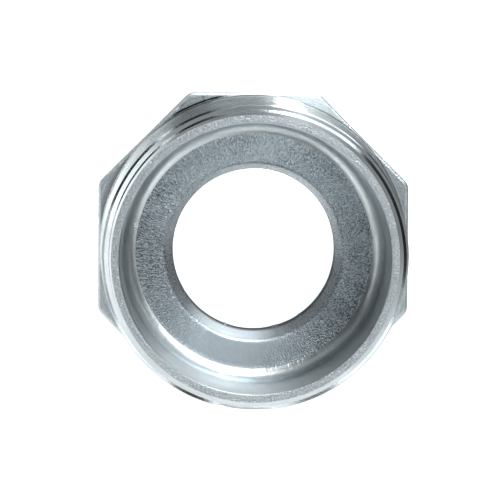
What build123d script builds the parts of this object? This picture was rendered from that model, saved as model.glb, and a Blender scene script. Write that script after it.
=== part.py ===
from build123d import *
import math
import os

os.makedirs("parts", exist_ok=True)

# Cast reducing bushing, R 2 male by Rp 1 1/4 female. All lengths are in millimetres.
# It stands on the end face of its octagonal head, with the hollow male end up.
# The screw threads are not cut here: the male end is their crest envelope,
# and the female bore is at their crest diameter.

# Octagonal head, a wrench size wider than the thread
across_flats = 61.15
head_thickness = 14.0
flat_draft = 3.0
corner_radius = 2.8
head_edge_round = 0.7

# Male taper pipe thread
male_gauge_diameter = 59.614
male_gauge_length = 15.9
male_length = 24.0
thread_taper = 1 / 16
thread_height = 1.479
nose_chamfer_angle = 30.0
chamfer_below_root = 0.35

# Plain collar where the male thread runs out, and the narrow groove behind it
collar_diameter = 60.3
collar_width = 1.5
run_out_angle = 45.0
relief_width = 0.7
relief_depth = 0.8

# Hollow of the male end, as cast
nose_wall = 1.7
hollow_depth = 16.2
hollow_draft = 2.0
hollow_fillet = 2.0
rim_edge_chamfer = 0.3

# Stop shoulder between the hollow and the female thread
stop_thickness = 7.3
stop_mouth_diameter = 34.5
stop_bore_diameter = 31.5
stop_land = 2.4

# Female parallel pipe thread
female_major_diameter = 41.910
female_bottom_chamfer = 0.6
countersink_margin = 0.5
countersink_angle = 45.0

# Levels along the axis, from the end face up
nose_z = head_thickness + male_length
web_z = nose_z - hollow_depth
stop_z = web_z - stop_thickness
relief_top_z = head_thickness + relief_width
collar_top_z = relief_top_z + collar_width

# Radii
crest_slope = thread_taper / 2
nose_crest_radius = male_gauge_diameter / 2 - male_gauge_length * crest_slope
nose_rim_radius = nose_crest_radius - thread_height - chamfer_below_root
collar_radius = collar_diameter / 2
female_bore_radius = female_major_diameter / 2 - thread_height
hollow_mouth_radius = nose_rim_radius - nose_wall
hollow_floor_radius = hollow_mouth_radius - hollow_depth * math.tan(math.radians(hollow_draft))


def crest_radius(depth):
    """Radius of the male thread's crest cone at a depth below the nose."""
    return nose_crest_radius + depth * crest_slope


# The nose chamfer starts just below the root of the thread and ends where it meets the crest cone
chamfer_rate = math.tan(math.radians(nose_chamfer_angle))
chamfer_depth = (thread_height + chamfer_below_root) / (chamfer_rate - crest_slope)

# The crest cone ends where the collar's run-out slope meets it
run_out_rate = math.tan(math.radians(run_out_angle))
collar_top_crest = crest_radius(nose_z - collar_top_z)
run_out_length = (collar_radius - collar_top_crest) / (run_out_rate - crest_slope)
run_out_z = collar_top_z + run_out_length

countersink_radius = female_major_diameter / 2 + countersink_margin
countersink_depth = (countersink_radius - female_bore_radius) / math.tan(math.radians(countersink_angle))

with BuildPart() as bushing_body:
    # Head: an octagon whose flats lean in towards the end face
    with BuildSketch(Plane.XY.offset(head_thickness)) as head_outline:
        RegularPolygon(across_flats / 2, 8, major_radius=False, rotation=22.5)
        fillet(head_outline.vertices(), corner_radius)
    extrude(amount=-head_thickness, taper=flat_draft)
    head_rims = bushing_body.edges().group_by(Axis.Z)
    fillet(head_rims[0] + head_rims[-1], head_edge_round)

    # Male end: relief groove, collar, thread envelope and nose chamfer in one section
    with BuildSketch(Plane.XZ) as male_section:
        with BuildLine():
            Polyline(
                (0, head_thickness - relief_width),
                (collar_radius - relief_depth, head_thickness - relief_width),
                (collar_radius - relief_depth, relief_top_z),
                (collar_radius, relief_top_z),
                (collar_radius, collar_top_z),
                (crest_radius(nose_z - run_out_z), run_out_z),
                (crest_radius(chamfer_depth), nose_z - chamfer_depth),
                (nose_rim_radius, nose_z),
                (0, nose_z),
                close=True,
            )
        make_face()
    revolve(axis=Axis.Z)

    # Hollow of the male end, drafted, with a round at its floor
    with BuildSketch(Plane.XZ) as hollow_section:
        with BuildLine():
            Polyline(
                (0, web_z),
                (hollow_floor_radius, web_z),
                (hollow_mouth_radius, nose_z),
                (0, nose_z),
                close=True,
            )
        make_face()
        floor_corner = hollow_section.vertices().group_by(Axis.Y)[0].sort_by(Axis.X)[-1]
        fillet(floor_corner, hollow_fillet)
    revolve(axis=Axis.Z, mode=Mode.SUBTRACT)

    # Way through the stop shoulder: a cast cone down to a short land
    with BuildSketch(Plane.XZ) as stop_section:
        with BuildLine():
            Polyline(
                (0, stop_z),
                (stop_bore_diameter / 2, stop_z),
                (stop_bore_diameter / 2, stop_z + stop_land),
                (stop_mouth_diameter / 2, web_z),
                (0, web_z),
                close=True,
            )
        make_face()
    revolve(axis=Axis.Z, mode=Mode.SUBTRACT)

    # Female bore, open at the end face through its countersink
    with BuildSketch(Plane.XZ) as female_section:
        with BuildLine():
            Polyline(
                (0, 0),
                (countersink_radius, 0),
                (female_bore_radius, countersink_depth),
                (female_bore_radius, stop_z),
                (0, stop_z),
                close=True,
            )
        make_face()
        bore_corner = female_section.vertices().group_by(Axis.Y)[-1].sort_by(Axis.X)[-1]
        chamfer(bore_corner, female_bottom_chamfer)
    revolve(axis=Axis.Z, mode=Mode.SUBTRACT)

    # Inner edge of the nose rim, slightly broken
    nose_edges = bushing_body.edges().group_by(Axis.Z)[-1].sort_by(SortBy.RADIUS)
    chamfer(nose_edges[0], rim_edge_chamfer)

bushing_body.part.label = "bushing_body"
export_step(bushing_body.part, "parts/bushing_body.step")
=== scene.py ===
import math
import bmesh
import bpy
from mathutils import Matrix, Vector


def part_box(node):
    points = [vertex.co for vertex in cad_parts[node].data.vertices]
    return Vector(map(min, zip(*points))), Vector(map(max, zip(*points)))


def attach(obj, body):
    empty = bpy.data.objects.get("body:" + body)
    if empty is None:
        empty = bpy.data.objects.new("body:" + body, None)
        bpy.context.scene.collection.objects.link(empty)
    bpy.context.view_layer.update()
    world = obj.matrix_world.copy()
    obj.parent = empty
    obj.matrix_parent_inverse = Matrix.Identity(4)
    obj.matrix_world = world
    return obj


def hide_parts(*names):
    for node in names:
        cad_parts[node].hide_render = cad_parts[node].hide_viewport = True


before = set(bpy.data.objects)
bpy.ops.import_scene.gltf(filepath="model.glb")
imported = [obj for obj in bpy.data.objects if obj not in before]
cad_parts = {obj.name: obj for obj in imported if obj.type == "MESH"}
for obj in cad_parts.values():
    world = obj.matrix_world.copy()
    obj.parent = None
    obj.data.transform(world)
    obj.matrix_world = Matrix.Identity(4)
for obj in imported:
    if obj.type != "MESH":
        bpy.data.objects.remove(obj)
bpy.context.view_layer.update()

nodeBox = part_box("bushing_body")
millimetre = 0.001
print("frame loaded: octagon-head bushing")


def slopeOf(angle):
    return math.tan(math.radians(angle))


# sizes are in millimetres and degrees
casting = {
    "height": (nodeBox[1][2] - nodeBox[0][2]) / millimetre,
    "acrossFlats": 61.15,
    "headThickness": 14.0,
    "flatDraft": 3.0,
    "cornerRadius": 2.8,
    "headEdgeRound": 0.7,
    "collarDiameter": 60.3,
    "collarWidth": 1.5,
    "reliefWidth": 0.7,
    "reliefDepth": 0.8,
    "noseWall": 1.7,
    "hollowDepth": 16.2,
    "hollowDraft": 2.0,
    "cornerStart": 22.2,     # radius where the hollow's floor turns up
    "cornerLean": 4.0,       # how steeply it turns up there
    "smoothStart": 22.85,    # radius where the rough casting ends
    "rimEdgeRound": 0.45,
    "stopThickness": 7.3,
    "stopMouthDiameter": 34.5,
    "stopBoreDiameter": 31.5,
    "stopLand": 2.4,
    "stopEdgeRound": 0.3,
    "webEdgeRound": 0.9,
    "wornCorners": [(247.5, 31.3), (292.5, 31.7)],    # angle round the axis, and what radius is left
    "columns": 360,        # steps round the axis
    "crowding": 0.6,       # how far they crowd to the head's corners, 0 to 1
    # rings on the head's face: how far past the collar, and how far off the outline
    "trimmedRings": [(0.03, 0.20), (0.11, 0.16), (0.34, 0.12), (0.42, 0.08)],
}

threadForm = {
    "pitch": 25.4 / 11,
    "height": 1.479,
    "flankAngle": 27.5,
    "crestShare": 0.94,    # share of the flank left under the worn crest
}

maleThread = {
    "gaugeDiameter": 59.614,
    "gaugeLength": 15.9,
    "taper": 1 / 16,
    "noseChamfer": 30.0,
    "belowRoot": 0.35,     # how far under the root the chamfer starts
    "runOutAngle": 45.0,
    "fade": 4.0,           # length over which the last turns run out
    "startAngle": 272.0,   # turns the whole helix round the axis
}

femaleThread = {
    "majorDiameter": 41.910,
    "countersinkMargin": 0.5,
    "countersinkAngle": 45.0,
    "bottomChamfer": 0.6,
    "fade": 2.5,
    "startAngle": 0.0,
}

noseZ = casting["height"]
headTopZ = casting["headThickness"]
webZ = noseZ - casting["hollowDepth"]
stopZ = webZ - casting["stopThickness"]
landTopZ = stopZ + casting["stopLand"]
reliefTopZ = headTopZ + casting["reliefWidth"]
collarTopZ = reliefTopZ + casting["collarWidth"]
crestSlope = maleThread["taper"] / 2
noseCrest = maleThread["gaugeDiameter"] / 2 - maleThread["gaugeLength"] * crestSlope
noseRim = noseCrest - threadForm["height"] - maleThread["belowRoot"]
collarRadius = casting["collarDiameter"] / 2
reliefRadius = collarRadius - casting["reliefDepth"]
collarGap = collarRadius - noseCrest - (noseZ - collarTopZ) * crestSlope
runOutZ = collarTopZ + collarGap / (slopeOf(maleThread["runOutAngle"]) - crestSlope)
runOutRadius = noseCrest + (noseZ - runOutZ) * crestSlope
boreRadius = femaleThread["majorDiameter"] / 2 - threadForm["height"]
mouthRadius = femaleThread["majorDiameter"] / 2 + femaleThread["countersinkMargin"]
boreEndZ = stopZ - femaleThread["bottomChamfer"]
hollowMouth = noseRim - casting["noseWall"]
hollowFloor = hollowMouth - casting["hollowDepth"] * slopeOf(casting["hollowDraft"])
webRadius = casting["cornerStart"]
smoothRadius = casting["smoothStart"]
stopMouth = casting["stopMouthDiameter"] / 2
stopBore = casting["stopBoreDiameter"] / 2


class Field:
    # a value in a node tree; arithmetic on it adds Math nodes to the tree
    def __init__(self, tree, socket):
        self.tree = tree
        self.socket = socket

    def math(self, operation, *others, clamp=False):
        node = self.tree.nodes.new("ShaderNodeMath")
        node.operation = operation
        node.use_clamp = clamp
        for place, value in enumerate((self,) + others):
            if isinstance(value, Field):
                self.tree.links.new(value.socket, node.inputs[place])
            else:
                node.inputs[place].default_value = value
        return Field(self.tree, node.outputs[0])

    def __add__(self, other):
        return self.math("ADD", other)

    def __sub__(self, other):
        return self.math("SUBTRACT", other)

    def __mul__(self, other):
        return self.math("MULTIPLY", other)

    def __truediv__(self, other):
        return self.math("DIVIDE", other)

    def least(self, other):
        return self.math("MINIMUM", other)

    def most(self, other):
        return self.math("MAXIMUM", other)

    def share(self):
        return self.math("ADD", 0.0, clamp=True)    # held between 0 and 1


def newGeometryTree(name, inputs):
    tree = bpy.data.node_groups.new(name, "GeometryNodeTree")
    tree.interface.new_socket("Geometry", in_out="INPUT", socket_type="NodeSocketGeometry")
    for label, socketType in inputs:
        tree.interface.new_socket(label, in_out="INPUT", socket_type=socketType)
    tree.interface.new_socket("Geometry", in_out="OUTPUT", socket_type="NodeSocketGeometry")
    start = tree.nodes.new("NodeGroupInput")
    end = tree.nodes.new("NodeGroupOutput")
    return tree, start, end


def setInputs(modifier, values):
    # each value goes in by its socket's identifier
    for item in modifier.node_group.interface.items_tree:
        if item.in_out == "INPUT" and item.name in values:
            modifier[item.identifier] = values[item.name]


def bakeNodes(name, mesh, tree, values):
    # runs a tree on a mesh and gives back the result as a plain mesh
    carrier = bpy.data.objects.new(name, mesh)
    bpy.context.scene.collection.objects.link(carrier)
    modifier = carrier.modifiers.new(name, "NODES")
    modifier.node_group = tree
    setInputs(modifier, values)
    evaluated = carrier.evaluated_get(bpy.context.evaluated_depsgraph_get())
    result = bpy.data.meshes.new_from_object(evaluated)
    bpy.data.objects.remove(carrier)
    return result


def finishTree(tree, geometry, material, end):
    # every tree ends in Realize Instances and Set Material
    realize = tree.nodes.new("GeometryNodeRealizeInstances")
    coat = tree.nodes.new("GeometryNodeSetMaterial")
    tree.links.new(geometry, realize.inputs["Geometry"])
    tree.links.new(realize.outputs["Geometry"], coat.inputs["Geometry"])
    tree.links.new(material, coat.inputs["Material"])
    tree.links.new(coat.outputs["Geometry"], end.inputs["Geometry"])


# stations of one turn: root, up a flank, over the crest, down the other flank, root
flankStations = 2
crestStations = 3
rootStations = 2
turnStations = 2 * flankStations + crestStations + rootStations
spareTurns = 2    # turns wound past each end of a thread, then drawn in

threadInputs = [
    ("Columns", "NodeSocketInt"),
    ("Rows", "NodeSocketInt"),
    ("Crowding", "NodeSocketFloat"),
    ("Pitch", "NodeSocketFloat"),
    ("Thread Height", "NodeSocketFloat"),
    ("Flank Slope", "NodeSocketFloat"),
    ("Crest Share", "NodeSocketFloat"),
    ("Side", "NodeSocketFloat"),
    ("Way", "NodeSocketFloat"),
    ("Mouth Level", "NodeSocketFloat"),
    ("Mouth Radius", "NodeSocketFloat"),
    ("Mouth Slope", "NodeSocketFloat"),
    ("Crest Radius", "NodeSocketFloat"),
    ("Crest Slope", "NodeSocketFloat"),
    ("Length", "NodeSocketFloat"),
    ("Fade", "NodeSocketFloat"),
    ("Start Turn", "NodeSocketFloat"),
    ("Material", "NodeSocketMaterial"),
]


def buildThreadTree():
    # "height" below is the radius outside, and minus the radius inside a bore,
    # so that one rule cuts both threads; "depth" runs in from the mouth
    tree, start, end = newGeometryTree("windThread", threadInputs)

    def given(label):
        return Field(tree, start.outputs[label])

    grid = tree.nodes.new("GeometryNodeMeshGrid")
    tree.links.new((given("Columns") + 1).socket, grid.inputs["Vertices X"])
    tree.links.new(given("Rows").socket, grid.inputs["Vertices Y"])
    index = Field(tree, tree.nodes.new("GeometryNodeInputIndex").outputs[0])
    column = ((index + 0.5) / given("Rows")).math("FLOOR")
    row = index - column * given("Rows")
    turn = ((row + 0.5) / turnStations).math("FLOOR")
    station = row - turn * turnStations

    even = column / given("Columns") * math.tau
    angle = even + (even * 8).math("SINE") * given("Crowding") / 8
    wound = turn - spareTurns + given("Start Turn") + angle / math.tau * given("Way")

    pitch = given("Pitch")
    threadHeight = given("Thread Height")
    flankSlope = given("Flank Slope")
    crest0 = given("Crest Radius") * given("Side")
    mouth0 = given("Mouth Radius") * given("Side")

    def crestAt(depth):
        return crest0 + given("Crest Slope") * depth

    def mouthAt(depth):
        return mouth0 + given("Mouth Slope") * depth

    def flank(turnShare, direction):
        # root end and top end of one flank, cut off by the crest or the mouth's cone
        depth = pitch * (wound + turnShare)
        fade = ((given("Length") - depth) / given("Fade")).share()
        tall = threadHeight * fade + 1e-7
        root = crestAt(depth) - tall
        room = (mouthAt(depth) - root).most(0.0)
        closing = flankSlope.math("POWER", -1.0) - given("Mouth Slope") * direction
        cut = room / closing / tall / flankSlope
        reach = cut.least(given("Crest Share"))
        topDepth = depth + reach * tall * flankSlope * direction
        return depth, root, topDepth, root + reach * tall

    rootShare = 1 / 12
    riseRootDepth, riseRoot, riseTopDepth, riseTop = flank(rootShare, 1)
    fallRootDepth, fallRoot, fallTopDepth, fallTop = flank(1 - rootShare, -1)
    nextDepth = riseRootDepth + pitch

    crestFrom = flankStations
    crestTo = crestFrom + crestStations
    fallTo = crestTo + flankStations
    up = (station / flankStations).share()
    across = ((station - crestFrom) / crestStations).share()
    down = ((station - crestTo) / flankStations).share()
    after = ((station - fallTo) / rootStations).share()

    def along(a, b, c, d, e):
        return a + up * (b - a) + across * (c - b) + down * (d - c) + after * (e - d)

    depth = along(riseRootDepth, riseTopDepth, fallTopDepth, fallRootDepth, nextDepth)
    height = along(riseRoot, riseTop, fallTop, fallRoot, riseRoot + given("Crest Slope") * pitch)
    onCrest = (across * 1000).share() * ((across - 1) * -1000).share()
    skin = crestAt(depth).least(mouthAt(depth))
    height = height + (skin - height) * onCrest

    # both ends are drawn in to the rings that the casting joins
    held = depth.most(0.0).least(given("Length"))
    height = height.least(mouthAt(held)).least(crestAt(held))
    past = (depth * 1e6).share()
    height = mouth0 + (height - mouth0) * past
    over = ((depth - given("Length")) * 1e6).share()
    height = height + (crestAt(given("Length")) - height) * over

    radius = height * given("Side")
    place = tree.nodes.new("ShaderNodeCombineXYZ")
    tree.links.new((radius * angle.math("COSINE")).socket, place.inputs["X"])
    tree.links.new((radius * angle.math("SINE")).socket, place.inputs["Y"])
    tree.links.new((given("Mouth Level") + held * given("Way")).socket, place.inputs["Z"])
    wind = tree.nodes.new("GeometryNodeSetPosition")
    tree.links.new(grid.outputs["Mesh"], wind.inputs["Geometry"])
    tree.links.new(place.outputs["Vector"], wind.inputs["Position"])
    finishTree(tree, wind.outputs["Geometry"], start.outputs["Material"], end)
    return tree


def windThread(tree, name, length, sizes, material):
    turns = math.ceil(length / threadForm["pitch"]) + 2 * spareTurns
    values = {
        "Columns": casting["columns"],
        "Rows": turns * turnStations + 1,
        "Crowding": casting["crowding"],
        "Pitch": threadForm["pitch"] * millimetre,
        "Thread Height": threadForm["height"] * millimetre,
        "Flank Slope": slopeOf(threadForm["flankAngle"]),
        "Crest Share": threadForm["crestShare"],
        "Length": length * millimetre,
        "Material": material,
    }
    values.update(sizes)
    return bakeNodes(name, bpy.data.meshes.new(name), tree, values)


# the rest of the casting is rings, from the run-out down to the mouth and up the inside
def columnAngles():
    count = casting["columns"]
    angles = []
    for column in range(count):
        even = math.tau * column / count
        angles.append(even + math.sin(8 * even) * casting["crowding"] / 8)
    return angles


def octagonRadius(angle, apothem, corner):
    # distance from the axis to a rounded octagon in one direction
    eighth = math.pi / 4
    fromFlat = abs((angle + eighth / 2) % eighth - eighth / 2)
    fromCorner = eighth / 2 - fromFlat
    centre = (apothem - corner) / math.cos(eighth / 2)
    if apothem * math.tan(fromFlat) <= centre * math.sin(eighth / 2):
        return apothem / math.cos(fromFlat)
    reach = corner ** 2 - (centre * math.sin(fromCorner)) ** 2
    return centre * math.cos(fromCorner) + math.sqrt(max(reach, 0.0))


def wornRadius(angle, apothem, corner):
    # the octagon with its two worst corners rubbed down
    radius = octagonRadius(angle, apothem, corner)
    for middle, left in casting["wornCorners"]:
        off = (math.degrees(angle) - middle + 180) % 360 - 180
        if abs(off) < 20:    # within this corner
            radius = min(radius, left - casting["acrossFlats"] / 2 + apothem)
    return radius


def roundRing(radius, level):
    return ("round", radius, level, 0.0)


def headRing(inset, level):
    apothem = casting["acrossFlats"] / 2 - (headTopZ - level) * slopeOf(casting["flatDraft"]) - inset
    return ("octagon", apothem, level, casting["cornerRadius"] - inset)


def trimmedRing(radius, gap):
    # a round ring on the head's face, kept inside its outline
    return ("trimmed", radius, headTopZ, gap)


def between(first, last, steps):
    # rings that pass evenly from one ring to another, both left out
    return [("between", first, last, (step + 1) / (steps + 1)) for step in range(steps)]


def ringPoint(ring, angle):
    kind, size, level, corner = ring
    if kind == "between":
        a = ringPoint(size, angle)
        b = ringPoint(level, angle)
        return a[0] + (b[0] - a[0]) * corner, a[1] + (b[1] - a[1]) * corner
    if kind == "octagon":
        return wornRadius(angle, size, corner), level
    if kind == "trimmed":
        outline = ringPoint(headRing(casting["headEdgeRound"], headTopZ), angle)[0]
        return min(size, outline - corner), level
    return size, level


def joined(stops, steps):
    rings = [stops[0]]
    for first, last, count in zip(stops, stops[1:], steps):
        rings += between(first, last, count)
        rings.append(last)
    return rings


def outsideRings():
    edge = casting["headEdgeRound"]
    topRound = []
    endRound = []
    for step in range(5):
        turned = math.radians(90 * step / 4)
        inset = edge * (1 - math.sin(turned))
        lift = edge * (1 - math.cos(turned))
        topRound.append(headRing(inset, headTopZ - lift))
        endRound.append(headRing(inset, lift))
    endRound.reverse()
    stops = [
        roundRing(runOutRadius, runOutZ),
        roundRing(collarRadius, collarTopZ),
        roundRing(collarRadius, reliefTopZ),
        roundRing(reliefRadius, reliefTopZ),
        roundRing(reliefRadius, headTopZ),
    ]
    stops += [trimmedRing(collarRadius + past, gap) for past, gap in casting["trimmedRings"]]
    stops += topRound + endRound + [roundRing(mouthRadius, 0.0)]
    # how many rings go between each stop and the next
    steps = [1, 1, 0, 0, 0, 0, 0, 0, 3] + [0] * 4 + [6] + [0] * 4 + [5]
    return joined(stops, steps)


def arcRings(centreRadius, centreLevel, size, fromAngle, toAngle, steps):
    rings = []
    for step in range(steps + 1):
        turned = math.radians(fromAngle + (toAngle - fromAngle) * step / steps)
        radius = centreRadius + size * math.cos(turned)
        rings.append(roundRing(radius, centreLevel + size * math.sin(turned)))
    return rings


def insideRings():
    draft = casting["hollowDraft"]
    lean = math.radians(casting["cornerLean"])
    edge = casting["rimEdgeRound"]
    lip = casting["stopEdgeRound"]
    # the corner's curve starts with a lean and ends along the wall
    upright = math.radians(90 - draft)
    spread = math.sin(upright) - math.sin(lean)
    rise = math.cos(lean) - math.cos(upright)
    corner = (hollowFloor - webRadius) / (spread - rise * slopeOf(draft))
    cornerCentre = webRadius - corner * math.sin(lean)
    cornerLevel = webZ + corner * math.cos(lean)
    coneTilt = math.atan2(stopMouth - stopBore, webZ - landTopZ)
    floorRound = arcRings(cornerCentre, cornerLevel, corner, -90 + casting["cornerLean"], -draft, 12)
    rimRound = arcRings(hollowMouth + edge, noseZ - edge, edge, 180 - draft, 90, 4)
    webRound = []
    for step in range(6):
        # the web rolls over into the cone
        done = step / 5
        reach = casting["webEdgeRound"]
        drop = (1 - done) ** 2 * reach * math.cos(coneTilt)
        webRound.append(roundRing(stopMouth - drop * math.tan(coneTilt) + done ** 2 * reach, webZ - drop))
    stops = [
        roundRing(boreRadius, boreEndZ),
        roundRing(boreRadius - femaleThread["bottomChamfer"], stopZ),
        roundRing(stopBore + lip, stopZ),
        roundRing(stopBore, stopZ + lip),
        roundRing(stopBore, landTopZ),
    ] + webRound + floorRound + rimRound + [roundRing(noseRim, noseZ)]
    # how many rings go between each stop and the next
    steps = [0, 2, 0, 3, 6] + [0] * 5 + [14] + [0] * 12 + [16] + [0] * 4 + [3]
    return joined(stops, steps)


def skinOf(rings, name):
    angles = columnAngles()
    mesh = bmesh.new()
    loops = []
    for ring in rings:
        loop = []
        for angle in angles:
            radius, level = ringPoint(ring, angle)
            place = Vector((radius * math.cos(angle), radius * math.sin(angle), level))
            loop.append(mesh.verts.new(place * millimetre))
        loops.append(loop)
    for first, last in zip(loops, loops[1:]):
        for column in range(len(angles)):
            after = (column + 1) % len(angles)
            mesh.faces.new((first[column], first[after], last[after], last[column]))
    skin = bpy.data.meshes.new(name)
    mesh.to_mesh(skin)
    mesh.free()
    return skin


coatMix = {
    # how strongly each pattern shows in the coat's colour, gloss and height
    # one entry here sets how dark the painted shade of the crevice, crack and stop's land goes
    "bloom": 0.35, "grain": 2.2, "sand": 6.0, "marks": 26.0, "paintedShade": 0.94, "darkest": 0.05,
    "bloomGloss": 0.12, "pitGloss": 0.2, "pitDepth": 0.1,
}

# each pattern's lumps to the millimetre
patternScale = {
    "wrinkle": 0.72, "pebble": 3.1, "fine": 5.2, "patch": 0.14,
    "sand": 2.5, "sandPatch": 0.9, "streak": 2.6, "streakPatch": 0.7,
    "bloom": 0.09, "bloomSmall": 0.55, "rib": 2.6, "pit": 0.75, "pitPatch": 0.2,
}

# painted light and shade on each side of the axis, partly a duller coat on the lead, and the matte entries
# add roughness instead of colour: azimuth clockwise from straight up, reach in degrees, share added
paintedLightAndMatteSides = {
    "wall": [(350, 75, 0.36), (118, 60, -0.28), (256, 36, -0.36)],
    "corner": [(212, 42, 0.40), (128, 42, -0.42), (40, 60, -0.18)],
    "cornerEdge": [(30, 130, -0.12)],
    "lead": [(66, 42, -0.50), (345, 32, -0.50), (256, 44, -0.14), (302, 22, 0.40)],
    "cone": [(198, 34, 0.50), (128, 42, -0.26), (250, 34, -0.44), (310, 50, 0.26), (62, 40, 0.22)],
    "web": [(68, 75, 0.24), (255, 42, -0.24)],
    "matte": [(345, 95, 0.26), (202, 36, 0.16)],
}

zincSettings = {
    "cast": {
        "colour": (0.465, 0.515, 0.548), "roughness": 0.42, "brush": 0.0,
        "grain": 0.34, "sand": 0.0, "marks": 0.0, "pits": 0.25, "ribs": 0.05, "side": "Floor",
    },
    "smooth": {
        "colour": (0.66, 0.69, 0.70), "roughness": 0.33, "brush": 0.0,
        "grain": 0.0, "sand": 0.035, "marks": 0.0, "pits": 0.10, "ribs": 0.08, "side": "Hollow",
    },
    "blasted": {
        "colour": (0.68, 0.73, 0.75), "roughness": 0.46, "brush": 0.0,
        "grain": 0.0, "sand": 0.12, "marks": 0.0, "pits": 0.45, "ribs": 0.0, "side": "",
    },
    "turned": {
        "colour": (0.65, 0.70, 0.72), "roughness": 0.22, "brush": 0.8,
        "grain": 0.0, "sand": 0.012, "marks": 0.022, "pits": 0.12, "ribs": 0.0, "side": "Lead",
    },
    "faced": {
        "colour": (0.535, 0.575, 0.60), "roughness": 0.40, "brush": 0.4,
        "grain": 0.0, "sand": 0.17, "marks": 0.012, "pits": 0.45, "ribs": 0.0, "side": "",
    },
    "skimmed": {
        "colour": (0.66, 0.71, 0.73), "roughness": 0.32, "brush": 0.85,
        "grain": 0.0, "sand": 0.09, "marks": 0.022, "pits": 0.45, "ribs": 0.0, "side": "",
    },
}
finishOrder = ["cast", "smooth", "blasted", "turned", "faced", "skimmed"]


def newShaderGroup(name, inputs, outputs):
    tree = bpy.data.node_groups.new(name, "ShaderNodeTree")
    for label, socketType in inputs:
        tree.interface.new_socket(label, in_out="INPUT", socket_type=socketType)
    for label in outputs:
        tree.interface.new_socket(label, in_out="OUTPUT", socket_type="NodeSocketFloat")
    return tree, tree.nodes.new("NodeGroupInput"), tree.nodes.new("NodeGroupOutput")


def noiseField(tree, place, pattern, detail=2.0):
    node = tree.nodes.new("ShaderNodeTexNoise")
    node.inputs["Scale"].default_value = patternScale[pattern]
    node.inputs["Detail"].default_value = detail
    tree.links.new(place, node.inputs["Vector"])
    return Field(tree, node.outputs["Fac"])


def partsOf(tree, place):
    apart = tree.nodes.new("ShaderNodeSeparateXYZ")
    tree.links.new(place, apart.inputs[0])
    x, y, z = (Field(tree, apart.outputs[axis]) for axis in range(3))
    return (x * x + y * y).math("SQRT").most(1e-6), x, y, z


def aroundAxis(tree, place, stretch, wheel=20.0):
    # the same place with its radius drawn out, so that a grain runs towards the axis
    radius, x, y, z = partsOf(tree, place)
    joined = tree.nodes.new("ShaderNodeCombineXYZ")
    tree.links.new((x / radius * wheel).socket, joined.inputs["X"])
    tree.links.new((y / radius * wheel).socket, joined.inputs["Y"])
    tree.links.new(((radius + z * 0.7) * stretch).socket, joined.inputs["Z"])
    return joined.outputs[0], radius, x, y


def lobeToward(x, y, radius, azimuth, power):
    # 1 on one side of the axis, falling off to 0 round it
    turned = math.radians(azimuth)
    return (x / radius * math.sin(turned) + y / radius * math.cos(turned)).share().math("POWER", power)


def sideToward(x, y, radius, azimuth, reach):
    # 1 near one side of the axis, falling to 0 at the reach in degrees
    turned = math.radians(azimuth)
    rim = math.cos(math.radians(reach))
    core = math.cos(math.radians(reach / 2))
    return ((x / radius * math.sin(turned) + y / radius * math.cos(turned) - rim) / (core - rim)).share()


def sumOfSides(x, y, radius, name):
    total = None
    for azimuth, reach, share in paintedLightAndMatteSides[name]:
        side = sideToward(x, y, radius, azimuth, reach) * share
        total = side if total is None else total + side
    return total


def buildCastGrain():
    # wrinkles of a sand casting, nearly smooth on the near side, with painted shade towards the wall and on
    # two sides and painted light on the near and far sides
    tree, start, end = newShaderGroup("castGrain", [("Place", "NodeSocketVector")], ["Height", "Shade"])
    place = start.outputs["Place"]
    drawn, radius, x, y = aroundAxis(tree, place, 0.75)
    wrinkle = noiseField(tree, drawn, "wrinkle")
    pebble = noiseField(tree, place, "pebble")
    fine = noiseField(tree, place, "fine", 1.0)
    patch = noiseField(tree, place, "patch", 1.0)
    near = lobeToward(x, y, radius, 188, 3.0)
    far = lobeToward(x, y, radius, 0, 3.0)
    strength = (near * -0.88 + far * -0.05 + 1.0) * (patch * 1.2 + 0.4)
    turned = y.math("ARCTAN2", x)
    worm = (turned * 215.0 + wrinkle * 29.0).math("SINE")    # 215 wrinkles round the axis, pushed about
    worm = worm * (sideToward(x, y, radius, 100, 80) * -0.6 + 1.0)
    right = sideToward(x, y, radius, 95, 95)
    rough = (pebble - 0.5) * (right * 0.08 + 0.66) + (fine - 0.5) * (right * 0.72 + 0.25)
    height = (worm * 0.085 + rough) * strength + 0.5
    tree.links.new(height.socket, end.inputs["Height"])
    # painted shade and light: darker towards the wall and round 132 and 262 degrees, lighter round 200
    # degrees and on the far side
    outward = ((radius - 17.0) / 7.0).share()
    paintedDarkSides = lobeToward(x, y, radius, 132, 2.0) * 0.40 + lobeToward(x, y, radius, 262, 3.0) * 0.22
    paintedDarkSides = paintedDarkSides + outward * (far * -0.22 + 0.30)
    paintedLightSides = lobeToward(x, y, radius, 200, 3.0) * 0.34 + far * 0.10
    shade = (height - 0.5) * 3.1 + 0.55 + paintedLightSides - paintedDarkSides
    tree.links.new(shade.socket, end.inputs["Shade"])
    return tree


def buildSand():
    # the even fine grain of blasted and worn faces
    tree, start, end = newShaderGroup("sand", [("Place", "NodeSocketVector")], ["Height"])
    fine = noiseField(tree, start.outputs["Place"], "sand")
    broad = noiseField(tree, start.outputs["Place"], "sandPatch")
    height = (fine - 0.5) * (broad * 1.6 + 0.2) + 0.5
    tree.links.new(height.socket, end.inputs["Height"])
    return tree


def buildTurningMarks():
    # fine rings that a lathe tool leaves, and a few deeper ones
    tree, start, end = newShaderGroup("turningMarks", [("Place", "NodeSocketVector")], ["Height", "Shade"])
    drawn = aroundAxis(tree, start.outputs["Place"], 1.0, 1.6)[0]
    streak = noiseField(tree, drawn, "streak", 2.5)
    broad = noiseField(tree, drawn, "streakPatch", 1.0)
    ring = (streak - 0.5) * (broad * 1.8 + 0.2) + 0.5
    tree.links.new(ring.socket, end.inputs["Height"])
    tree.links.new(ring.socket, end.inputs["Shade"])
    return tree


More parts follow.
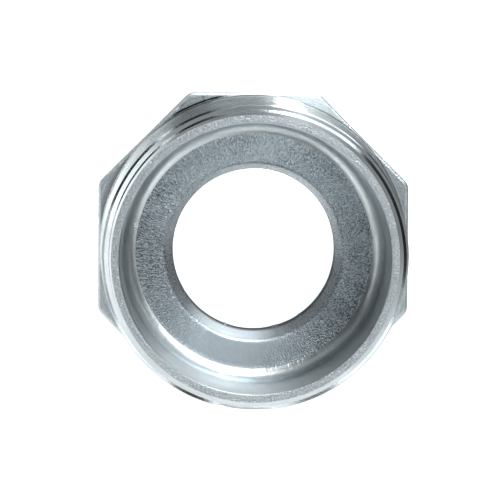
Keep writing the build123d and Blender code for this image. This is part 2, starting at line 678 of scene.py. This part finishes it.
def buildZincBloom():
    # the dull and bright patches of a zinc coat
    tree, start, end = newShaderGroup("zincBloom", [("Place", "NodeSocketVector")], ["Shade", "Polish"])
    broad = noiseField(tree, start.outputs["Place"], "bloom")
    small = noiseField(tree, start.outputs["Place"], "bloomSmall", 4.0)
    tree.links.new((broad * 0.5 + small * 0.5).socket, end.inputs["Shade"])
    tree.links.new(broad.socket, end.inputs["Polish"])
    return tree


def buildPaintedSides():
    # painted light and shade round the hollow, the web, the stop's cone and the thread's lead (on the lead
    # partly a duller coat), and a rougher coat on some sides of the wall
    outputs = ["Hollow", "Lead", "Floor", "Matte"]
    tree, start, end = newShaderGroup("paintedLightAndMatteSides", [("Place", "NodeSocketVector")], outputs)
    radius, x, y, z = partsOf(tree, start.outputs["Place"])
    corner = ((z * -1.0 + (webZ + 3.4)) / 1.6).share()    # 1 in the corner, 0 up the wall
    edge = ((radius * -1.0 + (smoothRadius + 0.95)) / 0.8).share()    # where the floor turns up
    cone = ((radius * -1.0 + (stopMouth + 0.5)) / 0.4).share()    # 1 on the stop's cone, 0 on the web
    wallShare = corner * -1.0 + 1.0
    cornerSides = sumOfSides(x, y, radius, "corner") + edge * sumOfSides(x, y, radius, "cornerEdge")
    hollow = sumOfSides(x, y, radius, "wall") * wallShare + cornerSides * corner + 1.0
    tree.links.new(hollow.socket, end.inputs["Hollow"])
    tree.links.new((sumOfSides(x, y, radius, "lead") + 1.0).socket, end.inputs["Lead"])
    floorSides = sumOfSides(x, y, radius, "web") * (cone * -1.0 + 1.0)
    floorSides = floorSides + sumOfSides(x, y, radius, "cone") * cone
    tree.links.new((floorSides + 1.0).socket, end.inputs["Floor"])
    tree.links.new((sumOfSides(x, y, radius, "matte") * wallShare).socket, end.inputs["Matte"])
    return tree


def scoreLine(tree, x, y, radius, azimuth, fromRadius, toRadius):
    # one scratch that runs straight out from the axis
    turned = math.radians(azimuth)
    along = x * math.sin(turned) + y * math.cos(turned)
    across = (x * math.cos(turned) - y * math.sin(turned)).math("ABSOLUTE")
    thin = (across / -0.16 + 1.0).share()
    return thin * along.math("GREATER_THAN", fromRadius) * along.math("LESS_THAN", toRadius)


def buildRibs():
    # fine ribs where the hollow's floor turns up into its wall
    tree, start, end = newShaderGroup("filletRibs", [("Place", "NodeSocketVector")], ["Height"])
    drawn, radius, x, y = aroundAxis(tree, start.outputs["Place"], 0.12)
    rib = noiseField(tree, drawn, "rib", 1.0)
    inside = ((radius - (smoothRadius - 1.0)) / 0.8).share()
    outside = ((radius * -1.0 + (smoothRadius + 1.9)) / 0.9).share()
    score = scoreLine(tree, x, y, radius, 282.5, smoothRadius - 0.5, smoothRadius + 1.1)
    score = score.most(scoreLine(tree, x, y, radius, 281.4, smoothRadius - 0.1, smoothRadius + 1.0))
    frayed = lobeToward(x, y, radius, 163, 5.0) * 0.85 + 0.15
    height = (rib - 0.5) * inside * outside * frayed + 0.5 - score * 0.5
    tree.links.new(height.socket, end.inputs["Height"])
    return tree


def buildPits():
    # small dark pits, more in some places than in others
    tree, start, end = newShaderGroup("pits", [("Place", "NodeSocketVector")], ["Depth"])
    cell = tree.nodes.new("ShaderNodeTexVoronoi")
    cell.inputs["Scale"].default_value = patternScale["pit"]
    tree.links.new(start.outputs["Place"], cell.inputs["Vector"])
    near = (Field(tree, cell.outputs["Distance"]) * -6.0 + 1.0).share()
    crowd = ((noiseField(tree, start.outputs["Place"], "pitPatch", 1.0) - 0.5) * 9.0).share()
    tree.links.new((near * crowd).socket, end.inputs["Depth"])
    return tree


groupBuilders = {
    "grain": buildCastGrain,
    "marks": buildTurningMarks,
    "bloom": buildZincBloom,
    "pits": buildPits,
    "ribs": buildRibs,
    "sand": buildSand,
    "sides": buildPaintedSides,
}
zincGroups = {key: build() for key, build in groupBuilders.items()}


def zincFinish(name):
    s = zincSettings[name]
    material = bpy.data.materials.new(name + "Zinc")
    material.use_nodes = True
    tree = material.node_tree
    shader = tree.nodes["Principled BSDF"]
    shader.inputs["Metallic"].default_value = 1.0
    coordinate = tree.nodes.new("ShaderNodeTexCoord")
    place = tree.nodes.new("ShaderNodeMapping")
    place.inputs["Scale"].default_value = (1 / millimetre,) * 3    # patterns are sized in millimetres
    tree.links.new(coordinate.outputs["Object"], place.inputs["Vector"])
    out = {}
    for key, group in zincGroups.items():
        node = tree.nodes.new("ShaderNodeGroup")
        node.node_tree = group
        tree.links.new(place.outputs[0], node.inputs["Place"])
        out[key] = {item.name: Field(tree, item) for item in node.outputs}
    lightness = (out["bloom"]["Shade"] - 0.5) * coatMix["bloom"] + 1.0
    if s["grain"]:
        lightness = lightness + (out["grain"]["Shade"] - 0.5) * (s["grain"] * coatMix["grain"])
    lightness = lightness + (out["sand"]["Height"] - 0.5) * (s["sand"] * coatMix["sand"])
    lightness = lightness + (out["marks"]["Shade"] - 0.5) * (s["marks"] * coatMix["marks"])
    lightness = (lightness - out["pits"]["Depth"] * s["pits"]).most(coatMix["darkest"])
    if s["side"]:
        # painted light and shade by side; on the lead partly a duller coat
        lightness = lightness * out["sides"][s["side"]]
    # painted shade: a vertex attribute darkens the crevice, a crack and the stop's land, where shade falls
    paintedShade = tree.nodes.new("ShaderNodeAttribute")
    paintedShade.attribute_name = "paintedShade"
    lightness = lightness * (Field(tree, paintedShade.outputs["Fac"]) * -coatMix["paintedShade"] + 1.0)
    tint = tree.nodes.new("ShaderNodeVectorMath")
    tint.operation = "SCALE"
    tint.inputs[0].default_value = s["colour"]
    tree.links.new(lightness.socket, tint.inputs["Scale"])
    tree.links.new(tint.outputs[0], shader.inputs["Base Color"])
    rough = (out["bloom"]["Polish"] - 0.5) * coatMix["bloomGloss"] + s["roughness"]
    rough = rough + out["pits"]["Depth"] * coatMix["pitGloss"]
    if s["side"] == "Hollow":
        rough = rough + out["sides"]["Matte"]
    tree.links.new(rough.share().socket, shader.inputs["Roughness"])
    height = out["sand"]["Height"] * s["sand"] + out["marks"]["Height"] * s["marks"]
    if s["grain"]:
        height = height + out["grain"]["Height"] * s["grain"]
    height = height - out["pits"]["Depth"] * (s["pits"] * coatMix["pitDepth"])
    if s["ribs"]:
        height = height + out["ribs"]["Height"] * s["ribs"]
    bump = tree.nodes.new("ShaderNodeBump")
    bump.inputs["Strength"].default_value = 1.0
    bump.inputs["Distance"].default_value = millimetre
    tree.links.new(height.socket, bump.inputs["Height"])
    tree.links.new(bump.outputs["Normal"], shader.inputs["Normal"])
    shader.inputs["Anisotropic"].default_value = s["brush"]
    if s["brush"]:
        # the lathe ran round the axis, so the gloss spreads across its marks
        tangent = tree.nodes.new("ShaderNodeTangent")
        tangent.direction_type = "RADIAL"
        tangent.axis = "Z"
        tree.links.new(tangent.outputs[0], shader.inputs["Tangent"])
        shader.inputs["Anisotropic Rotation"].default_value = 0.25
    return material


finishes = {name: zincFinish(name) for name in finishOrder}
print("finishes mixed:", ", ".join(finishOrder))
threadTree = buildThreadTree()
maleSkin = windThread(threadTree, "maleThread", noseZ - runOutZ, {
    "Side": 1.0,
    "Way": -1.0,
    "Mouth Level": noseZ * millimetre,
    "Mouth Radius": noseRim * millimetre,
    "Mouth Slope": slopeOf(maleThread["noseChamfer"]),
    "Crest Radius": noseCrest * millimetre,
    "Crest Slope": crestSlope,
    "Fade": maleThread["fade"] * millimetre,
    "Start Turn": maleThread["startAngle"] / 360,
}, finishes["turned"])
femaleSkin = windThread(threadTree, "femaleThread", boreEndZ, {
    "Side": -1.0,
    "Way": 1.0,
    "Mouth Level": 0.0,
    "Mouth Radius": mouthRadius * millimetre,
    "Mouth Slope": slopeOf(femaleThread["countersinkAngle"]),
    "Crest Radius": boreRadius * millimetre,
    "Crest Slope": 0.0,
    "Fade": femaleThread["fade"] * millimetre,
    "Start Turn": femaleThread["startAngle"] / 360,
}, finishes["turned"])
print("threads wound:", len(maleSkin.polygons), "and", len(femaleSkin.polygons), "faces")

outside = skinOf(outsideRings(), "outside")
inside = skinOf(insideRings(), "inside")

whole = bmesh.new()
for part in (outside, inside, maleSkin, femaleSkin):
    whole.from_mesh(part)
bmesh.ops.remove_doubles(whole, verts=whole.verts, dist=2e-6)
bmesh.ops.dissolve_degenerate(whole, edges=whole.edges, dist=1e-7)
bmesh.ops.recalc_face_normals(whole, faces=whole.faces)
openEdges = [edge for edge in whole.edges if len(edge.link_faces) != 2]
print("shell joined:", len(whole.faces), "faces,", len(openEdges), "open edges")


faceSlack = 0.02    # how near a face counts as lying at a level


def finishAt(face):
    # which finish a place on the casting has
    centre = face.calc_center_median() / millimetre
    radius = math.hypot(centre.x, centre.y)
    if centre.z > noseZ - faceSlack:
        return "faced"
    if centre.z > stopZ - 0.05 and radius < noseRim - 0.2:
        return "cast" if radius < smoothRadius else "smooth"
    if radius > reliefRadius and abs(centre.z - headTopZ) < faceSlack:
        return "skimmed"
    if radius > mouthRadius + faceSlack and faceSlack < centre.z < headTopZ + faceSlack:
        return "blasted"
    if centre.z < faceSlack and radius > mouthRadius:
        return "faced"
    return "turned"


finishLayer = whole.faces.layers.int.new("finish")
for face in whole.faces:
    face[finishLayer] = finishOrder.index(finishAt(face))
castLayer = whole.verts.layers.float.new("castShare")
for vert in whole.verts:
    kinds = {finishOrder[face[finishLayer]] for face in vert.link_faces}
    vert[castLayer] = 1.0 if kinds <= {"cast", "smooth", "blasted"} else 0.0

marks = {
    # angles round the axis in degrees, other sizes in millimetres
    # the crevice, crack and land also carry painted shade; their dark shares set how dark
    "crevice": {"from": 104.0, "to": 120.5, "inner": 0.07, "outer": 0.38, "depth": 0.75, "fade": 1.2},
    "burr": {"angle": 107.8, "width": 0.9, "height": 0.10},
    "crack": {"angle": 108.9, "width": 0.5, "length": 0.9, "dark": 0.85},
    "land": {
        "reach": 0.15, "dark": 0.86,
        "spots": [250.0, 284.0, 286.5, 305.0], "spotWidth": 1.2, "spotHeight": 0.14,
        "fringe": 0.32, "fringeLevel": 1.0, "fringeDark": 0.55, "from": 228.0, "to": 345.0, "fade": 12.0,
    },
    "flat": {"from": 258.0, "to": 275.0, "depth": 0.16, "fade": 4.0, "above": 30.0, "reach": 0.4},
    "dents": [
        {"angle": 257.5, "radius": 29.3, "level": 34.0, "size": 0.8, "depth": 0.28},
        {"angle": 248.0, "radius": 27.3, "level": 38.0, "size": 0.7, "depth": 0.10},
        {"angle": 66.0, "radius": 27.2, "level": 38.0, "size": 0.6, "depth": 0.10},
        {"angle": 118.0, "radius": 31.3, "level": 14.0, "size": 0.5, "depth": 0.16},
        {"angle": 160.0, "radius": 25.3, "level": 27.0, "size": 1.4, "depth": 0.12},
    ],
}


def ramp(value, low, high, fade):
    # 1 between two limits, falling to 0 within a short way past them
    past = max(low - value, value - high, 0.0)
    return max(0.0, 1.0 - past / fade)


def leaveMarksAndShade(shell, paintedShadeLayer):
    # dents, a sunk crevice, a burr and a flat in the shape, and painted shade in the crevice, a crack and
    # along the stop's land
    for vert in shell.verts:
        x, y, z = vert.co / millimetre
        radius = math.hypot(x, y)
        angle = math.degrees(math.atan2(y, x)) % 360
        outward = Vector((x / radius, y / radius, 0.0))
        onHeadTop = abs(z - headTopZ) < faceSlack
        past = radius - collarRadius
        s = marks["crevice"]
        lip = s["outer"]
        if onHeadTop and s["inner"] <= past <= lip:
            share = ramp(angle, s["from"], s["to"], s["fade"])
            burr = marks["burr"]
            bridge = ramp(angle, burr["angle"], burr["angle"], burr["width"])
            # the crevice is sunk, and its floor also gets painted shade
            vert.co.z -= (share * (1 - bridge) * s["depth"] - bridge * burr["height"]) * millimetre
            vert[paintedShadeLayer] = share * (1 - bridge)
        # a crack drawn only as a painted shade line, with no cut in the shape
        s = marks["crack"]
        if onHeadTop and lip < past < lip + s["length"]:
            crack = s["dark"] * ramp(angle, s["angle"], s["angle"], s["width"])
            vert[paintedShadeLayer] = max(vert[paintedShadeLayer], crack)
        # painted shade along the stop's land, left off at small nubs pushed in, and a fainter painted shade
        # fringe above it on one side
        s = marks["land"]
        if radius < stopBore + s["reach"] and stopZ < z < landTopZ + s["reach"]:
            speck = max(ramp(angle, spot, spot, s["spotWidth"]) for spot in s["spots"])
            vert[paintedShadeLayer] = s["dark"] * (1 - speck)
            vert.co -= outward * speck * s["spotHeight"] * millimetre
        elif radius < stopBore + s["fringe"] and z < landTopZ + s["fringeLevel"]:
            vert[paintedShadeLayer] = s["fringeDark"] * ramp(angle, s["from"], s["to"], s["fade"])
        s = marks["flat"]
        if z > s["above"] and radius > noseCrest - s["reach"]:
            vert.co -= outward * ramp(angle, s["from"], s["to"], s["fade"]) * s["depth"] * millimetre
        for dent in marks["dents"]:
            turned = math.radians(dent["angle"])
            toward = Vector((math.cos(turned), math.sin(turned), 0.0))
            middle = toward * dent["radius"] + Vector((0.0, 0.0, dent["level"]))
            reach = (Vector((x, y, z)) - middle).length / dent["size"]
            if reach < 2.5:    # past this the dent has run out
                vert.co -= vert.normal * math.exp(-reach ** 2) * dent["depth"] * millimetre


whole.normal_update()
# a vertex attribute holds the painted shade of the crevice, a crack and the stop's land
paintedShadeLayer = whole.verts.layers.float.new("paintedShade")
leaveMarksAndShade(whole, paintedShadeLayer)
print("marks left:", len(marks["dents"]), "dents and a crevice with its burr")

castRelief = {
    "Amount": 0.10 * millimetre,    # deepest hollow of the sand's print
    "Grain": 0.32 / millimetre,     # lumps for each metre
    "Seed": 4.0,
}


def buildReliefTree():
    # cast faces get shallow uneven hollows, and each finish its material
    inputs = [("Amount", "NodeSocketFloat"), ("Grain", "NodeSocketFloat"), ("Seed", "NodeSocketFloat")]
    inputs += [(name, "NodeSocketMaterial") for name in finishOrder]
    tree, start, end = newGeometryTree("castRelief", inputs)
    share = tree.nodes.new("GeometryNodeInputNamedAttribute")
    share.inputs["Name"].default_value = "castShare"
    blur = tree.nodes.new("GeometryNodeBlurAttribute")
    blur.inputs["Iterations"].default_value = 3
    tree.links.new(share.outputs["Attribute"], blur.inputs["Value"])
    noise = tree.nodes.new("ShaderNodeTexNoise")
    noise.noise_dimensions = "4D"
    noise.inputs["Detail"].default_value = 2.0
    tree.links.new(start.outputs["Grain"], noise.inputs["Scale"])
    tree.links.new(start.outputs["Seed"], noise.inputs["W"])
    position = tree.nodes.new("GeometryNodeInputPosition")
    tree.links.new(position.outputs[0], noise.inputs["Vector"])
    weight = Field(tree, blur.outputs["Value"]) * Field(tree, share.outputs["Attribute"])
    sink = weight * Field(tree, noise.outputs["Fac"]) * Field(tree, start.outputs["Amount"]) * -1.0
    along = tree.nodes.new("ShaderNodeVectorMath")
    along.operation = "SCALE"
    normal = tree.nodes.new("GeometryNodeInputNormal")
    tree.links.new(normal.outputs[0], along.inputs[0])
    tree.links.new(sink.socket, along.inputs["Scale"])
    move = tree.nodes.new("GeometryNodeSetPosition")
    tree.links.new(start.outputs["Geometry"], move.inputs["Geometry"])
    tree.links.new(along.outputs[0], move.inputs["Offset"])
    realize = tree.nodes.new("GeometryNodeRealizeInstances")
    tree.links.new(move.outputs[0], realize.inputs[0])
    shape = realize.outputs[0]
    kind = tree.nodes.new("GeometryNodeInputNamedAttribute")
    kind.data_type = "INT"
    kind.inputs["Name"].default_value = "finish"
    for number, name in enumerate(finishOrder):
        same = tree.nodes.new("FunctionNodeCompare")
        same.data_type = "INT"
        same.operation = "EQUAL"
        numbers = [socket for socket in same.inputs if socket.type == "INT"]
        tree.links.new(kind.outputs["Attribute"], numbers[0])
        numbers[1].default_value = number
        coat = tree.nodes.new("GeometryNodeSetMaterial")
        tree.links.new(shape, coat.inputs["Geometry"])
        tree.links.new(same.outputs[0], coat.inputs["Selection"])
        tree.links.new(start.outputs[name], coat.inputs["Material"])
        shape = coat.outputs[0]
    tree.links.new(shape, end.inputs[0])
    return tree


plainShell = bpy.data.meshes.new("plainShell")
whole.to_mesh(plainShell)
whole.free()
for name in finishOrder:
    plainShell.materials.append(finishes[name])
reliefValues = dict(castRelief)
reliefValues.update(finishes)
bodyMesh = bakeNodes("bushing", plainShell, buildReliefTree(), reliefValues)

# every point is held inside the box that the solid fills
low, high = nodeBox
for vert in bodyMesh.vertices:
    for axis in range(3):
        vert.co[axis] = min(max(vert.co[axis], low[axis]), high[axis])

bushing = bpy.data.objects.new("bushing", bodyMesh)
bpy.context.scene.collection.objects.link(bushing)
bodyMesh.shade_smooth()
bodyMesh.set_sharp_from_angle(angle=math.radians(22))
print("bushing finished:", len(bodyMesh.polygons), "faces,", len(bodyMesh.materials), "finishes")
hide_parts("bushing_body")
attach(bushing, "root")

studio = {
    "floor": 0.55,          # how pale the floor is to the metal
    "world": 0.02,
    "tint": (0.945, 0.982, 1.0),
    # light that the metal takes from the floor, by azimuth: far round about, and under the bore
    "bounceFar": [(135, 0.28), (180, 0.60), (225, 0.28), (270, 1.00)],
    "bounceUnder": [(0, 0.78), (45, 2.43)],
    "underRadius": 35,
    "distance": 450,
    "panelSizes": {
        "low": (222, 192), "middle": (173, 192), "high": (195, 176), "top": (200, 160), "slit": (51, 192),
    },
    "panels": [
        # azimuth runs clockwise from straight up, polar down from overhead, sizes are in millimetres
        {"name": "key", "azimuth": 15, "polar": 70, "kind": "slit", "glow": 26.0},
        {"name": "keyHigh", "azimuth": 17, "polar": 40, "kind": "slit", "glow": 14.0},
        {"name": "keyRight", "azimuth": 46, "polar": 52, "kind": "slit", "glow": 3.5},
        {"name": "keyFill", "azimuth": 30, "polar": 46, "kind": "middle", "glow": 2.61},
        {"name": "farLow", "azimuth": 0, "polar": 68, "kind": "low", "glow": 2.66},
        {"name": "rightMiddle", "azimuth": 120, "polar": 46, "kind": "middle", "glow": 1.29},
        {"name": "rightLow", "azimuth": 135, "polar": 68, "kind": "low", "glow": 1.69},
        {"name": "nearMiddle", "azimuth": 150, "polar": 46, "kind": "middle", "glow": 1.22},
        {"name": "nearLow", "azimuth": 180, "polar": 68, "kind": "low", "glow": 1.66},
        {"name": "nearLeftLow", "azimuth": 225, "polar": 68, "kind": "low", "glow": 2.37},
        {"name": "leftMiddle", "azimuth": 240, "polar": 46, "kind": "middle", "glow": 1.44},
        {"name": "leftLow", "azimuth": 270, "polar": 68, "kind": "low", "glow": 1.87},
        {"name": "leftSlit", "azimuth": 322, "polar": 58, "kind": "slit", "glow": 2.0},
        {"name": "highFar", "azimuth": 0, "polar": 24, "kind": "high", "glow": 1.05},
        {"name": "highRight", "azimuth": 60, "polar": 24, "kind": "high", "glow": 1.01},
        {"name": "highNear", "azimuth": 180, "polar": 24, "kind": "high", "glow": 1.57},
        {"name": "overhead", "azimuth": 0, "polar": 0, "kind": "top", "glow": 0.66},
    ],
}


def directionOf(azimuth, polar):
    turned = math.radians(azimuth)
    lean = math.radians(polar)
    return Vector((math.sin(turned) * math.sin(lean), math.cos(turned) * math.sin(lean), math.cos(lean)))


def lobeSum(tree, heading, lobes):
    total = None
    for azimuth, strength in lobes:
        toward = tree.nodes.new("ShaderNodeVectorMath")
        toward.operation = "DOT_PRODUCT"
        tree.links.new(heading.outputs[0], toward.inputs[0])
        toward.inputs[1].default_value = directionOf(azimuth, 90)
        lobe = Field(tree, toward.outputs["Value"]).most(0.0).math("POWER", 4.0) * strength
        total = lobe if total is None else total + lobe
    return total


def buildPaper():
    # pure white to the camera, and to the metal a pale floor with a painted glow in soft lobes
    paper = bpy.data.materials.new("paper")
    paper.use_nodes = True
    tree = paper.node_tree
    shader = tree.nodes["Principled BSDF"]
    shader.inputs["Base Color"].default_value = (studio["floor"],) * 3 + (1,)
    shader.inputs["Roughness"].default_value = 1.0
    shader.inputs["Emission Color"].default_value = (1, 1, 1, 1)
    coordinate = tree.nodes.new("ShaderNodeTexCoord")
    heading = tree.nodes.new("ShaderNodeVectorMath")
    heading.operation = "NORMALIZE"
    tree.links.new(coordinate.outputs["Object"], heading.inputs[0])
    reach = tree.nodes.new("ShaderNodeVectorMath")
    reach.operation = "LENGTH"
    tree.links.new(coordinate.outputs["Object"], reach.inputs[0])
    far = Field(tree, reach.outputs["Value"]).math("GREATER_THAN", studio["underRadius"] * millimetre)
    rays = tree.nodes.new("ShaderNodeLightPath")
    seen = Field(tree, rays.outputs["Is Camera Ray"])
    bounce = lobeSum(tree, heading, studio["bounceFar"]) * far
    bounce = bounce + lobeSum(tree, heading, studio["bounceUnder"]) * (far * -1.0 + 1.0)
    glow = seen.most(bounce)
    tree.links.new(glow.socket, shader.inputs["Emission Strength"])
    return paper


floorMesh = bpy.data.meshes.new("floor")
floorMesh.from_pydata([(-2, -2, 0), (2, -2, 0), (2, 2, 0), (-2, 2, 0)], [], [(0, 1, 2, 3)])
floorMesh.materials.append(buildPaper())
floor = bpy.data.objects.new("floor", floorMesh)
bpy.context.scene.collection.objects.link(floor)

world = bpy.data.worlds.new("studio")
bpy.context.scene.world = world
world.use_nodes = True
world.node_tree.nodes["Background"].inputs[0].default_value = studio["tint"] + (1,)
world.node_tree.nodes["Background"].inputs[1].default_value = studio["world"]
bpy.context.scene.view_settings.view_transform = "Standard"


def placePanel(s):
    away = directionOf(s["azimuth"], s["polar"])
    data = bpy.data.lights.new(s["name"], "AREA")
    data.shape = "RECTANGLE"
    width, height = studio["panelSizes"][s["kind"]]
    data.size = width * millimetre
    data.size_y = height * millimetre
    data.energy = s["glow"] * math.pi * data.size * data.size_y
    data.color = studio["tint"]
    panel = bpy.data.objects.new(s["name"], data)
    panel.location = (away * studio["distance"] + Vector((0, 0, headTopZ))) * millimetre
    panel.rotation_euler = away.to_track_quat("Z", "Y").to_euler()
    bpy.context.scene.collection.objects.link(panel)


for panelSettings in studio["panels"]:
    placePanel(panelSettings)
print("studio lit:", len(studio["panels"]), "panels")

cameraSettings = {
    "distance": 700.0,       # to the nose plane
    "tilt": 5.50,            # lean of the view off the axis
    "heading": 12.2,         # which way it leans, from straight up to the left
    "roll": 0.5,             # clockwise turn of the head in the frame
    "scale": 5.266,          # frame pixels for each millimetre at the nose
    "aim": (-1.09, 1.78),    # where the frame's middle falls on the nose plane
    "frame": 500,
}


def placeCamera():
    s = cameraSettings
    lean = math.radians(s["tilt"])
    heading = math.radians(s["heading"])
    away = Vector((-math.sin(heading) * math.sin(lean), math.cos(heading) * math.sin(lean), math.cos(lean)))
    target = Vector((s["aim"][0], s["aim"][1], noseZ)) * millimetre
    camera = bpy.data.objects.new("camera", bpy.data.cameras.new("camera"))
    bpy.context.scene.collection.objects.link(camera)
    camera.data.sensor_width = 36.0
    camera.data.lens = s["scale"] * s["distance"] * 36.0 / s["frame"]
    zAxis = away
    xAxis = Vector((0, 1, 0)).cross(zAxis).normalized()
    yAxis = zAxis.cross(xAxis)
    turn = Matrix((xAxis, yAxis, zAxis)).transposed().to_4x4()
    place = Matrix.Translation(target + away * s["distance"] * millimetre)
    camera.matrix_world = place @ turn @ Matrix.Rotation(math.radians(s["roll"]), 4, "Z")
    camera.data.clip_start = 0.01
    camera.data.clip_end = 10
    bpy.context.scene.camera = camera


placeCamera()
print("camera placed")
